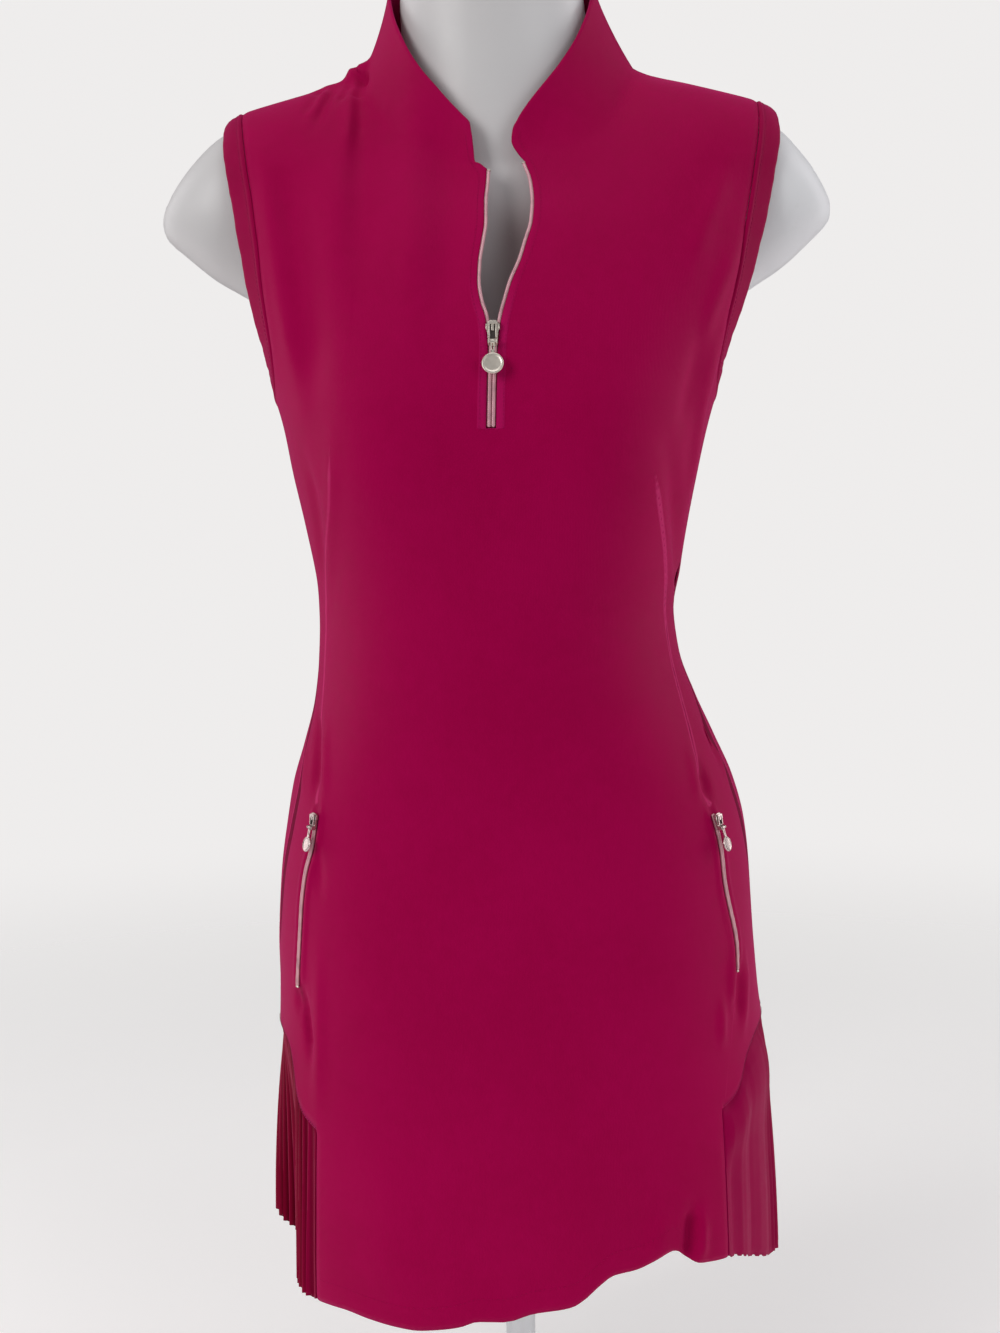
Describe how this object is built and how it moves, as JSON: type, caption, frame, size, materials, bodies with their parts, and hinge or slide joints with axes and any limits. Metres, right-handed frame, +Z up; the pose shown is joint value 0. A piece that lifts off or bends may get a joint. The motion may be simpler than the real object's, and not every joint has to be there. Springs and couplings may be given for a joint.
{
  "type": "shift dress on a dress form",
  "caption": "Sleeveless stand-collar shift dress with a half-open centre zip, zipped pockets and a pleated back flounce, on a limbless dress form with a round stand.",
  "frame": {"origin": "on the floor, under the middle of the stand's round base", "axes": "+Z up the dress, -Y to the front of the dress, +X to the viewer's right seen from the front"},
  "size_m": [0.469, 0.3148, 1.135],
  "materials": {
    "dress_knit": "smooth matte technical knit, deep raspberry",
    "zip_chain_silver": "silvered zip chain with fine teeth",
    "zip_metal": "polished, pale nickel",
    "form_white": "smooth glossy white shell",
    "stand_steel": "plain polished steel"
  },
  "bodies": {
    "dress": {"front": "dress_knit", "back": "dress_knit", "armhole_band_left": "dress_knit", "armhole_band_right": "dress_knit", "flounce": "dress_knit", "zip_chain_closed": "zip_chain_silver", "zip_chain_left": "zip_chain_silver", "zip_chain_right": "zip_chain_silver", "pocket_chain_left": "zip_chain_silver", "pocket_chain_right": "zip_chain_silver", "front_slider": "zip_metal", "pocket_slider_left": "zip_metal", "pocket_slider_right": "zip_metal", "form": "form_white", "stand_base": "stand_steel", "stand_socket": "stand_steel", "stand_pole": "stand_steel"},
    "front_pull": {"front_pull": "zip_metal"},
    "pocket_pull_left": {"pocket_pull_left": "zip_metal"},
    "pocket_pull_right": {"pocket_pull_right": "zip_metal"}
  },
  "joints": [
    {"name": "front_pull_swing", "type": "hinge", "parent": "dress", "child": "front_pull", "pos_m": [-0.00182, -0.12713, 0.83405], "axis": [-1, 0.0044, -0.0009], "range_deg": [0, 165]},
    {"name": "pocket_pull_left_swing", "type": "hinge", "parent": "dress", "child": "pocket_pull_left", "pos_m": [-0.13598, -0.07912, 0.50927], "axis": [-0.6898, 0.7211, 0.0649], "range_deg": [0, 165]},
    {"name": "pocket_pull_right_swing", "type": "hinge", "parent": "dress", "child": "pocket_pull_right", "pos_m": [0.14759, -0.0729, 0.50487], "axis": [-0.6303, -0.7724, -0.0789], "range_deg": [0, 165]}
  ]
}
